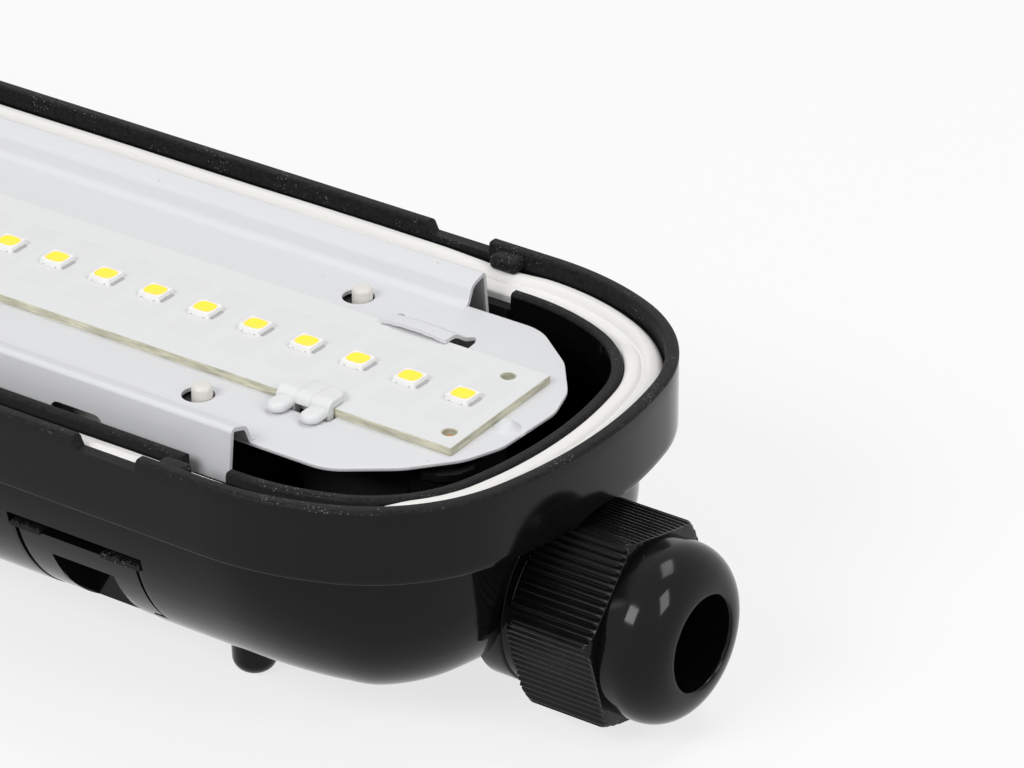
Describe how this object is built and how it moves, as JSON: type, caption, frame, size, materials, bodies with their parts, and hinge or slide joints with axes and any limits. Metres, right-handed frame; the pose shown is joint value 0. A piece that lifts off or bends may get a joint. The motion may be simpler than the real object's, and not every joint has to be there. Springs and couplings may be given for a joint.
{
  "type": "vapor tight light fixture",
  "caption": "Slim black vapor tight linear light with its cover off: gasketed housing, white gear tray with light boards, and a ribbed cable gland in the end wall.",
  "frame": {"origin": "under the middle of the housing, on the plane that its feet stand on", "axes": "+X along the fixture towards the cable gland, +Y across it, +Z out of the open side, away from the ceiling or wall"},
  "size_m": [0.6025, 0.0646, 0.035],
  "materials": {
    "housing_plastic": "glossy moulded black",
    "gasket_foam": "soft matte off-white foam",
    "tray_enamel": "smooth white enamel",
    "board_white": "white solder mask, satin",
    "clip_nylon": "natural nylon, slightly translucent",
    "driver_plastic": "satin off-white",
    "terminal_plastic": "white polyamide",
    "lead_brown": "brown sleeve",
    "lead_blue": "blue sleeve",
    "lead_green": "green sleeve with yellow stripe",
    "lead_red": "red sleeve",
    "lead_black": "black sleeve",
    "plated_steel": "zinc plated",
    "grommet_rubber": "black rubber",
    "ring_plastic": "black polyamide",
    "nut_plastic": "glossy black polyamide"
  },
  "bodies": {
    "housing": {"housing": "housing_plastic", "gasket": "gasket_foam", "gland_seal": "grommet_rubber"},
    "gear": {"gear_tray": "tray_enamel", "led_board_a": "board_white", "led_board_b": "board_white", "board_clip_1": "clip_nylon", "board_clip_2": "clip_nylon", "board_clip_3": "clip_nylon", "board_clip_4": "clip_nylon", "board_clip_5": "clip_nylon", "board_clip_6": "clip_nylon", "driver_case": "driver_plastic", "driver_cover": "driver_plastic", "terminal_block": "terminal_plastic", "lead_live": "lead_brown", "lead_neutral": "lead_blue", "lead_earth": "lead_green", "lead_positive": "lead_red", "lead_negative": "lead_black", "board_link_positive": "lead_red", "board_link_negative": "lead_black", "earth_ring": "plated_steel", "earth_nut": "plated_steel", "grommet": "grommet_rubber"},
    "thrust_ring": {"gland_thrust_ring": "ring_plastic"},
    "nut": {"gland_nut": "nut_plastic"}
  },
  "joints": [
    {"name": "gear_lift", "type": "slide", "parent": "housing", "child": "gear", "axis": [0, 0, 1], "range_m": [0, 0.06]},
    {"name": "nut_travel", "type": "slide", "parent": "housing", "child": "thrust_ring", "axis": [1, 0, 0], "range_m": [0, 0.003]},
    {"name": "nut_turn", "type": "hinge", "parent": "thrust_ring", "child": "nut", "pos_m": [0.2954, 0, 0.01248], "axis": [1, 0, 0], "range_deg": [0, 720]}
  ],
  "couplings": [
    {"joint": "nut_travel", "follows": "nut_turn", "m_per_rad": 0.0002387}
  ]
}
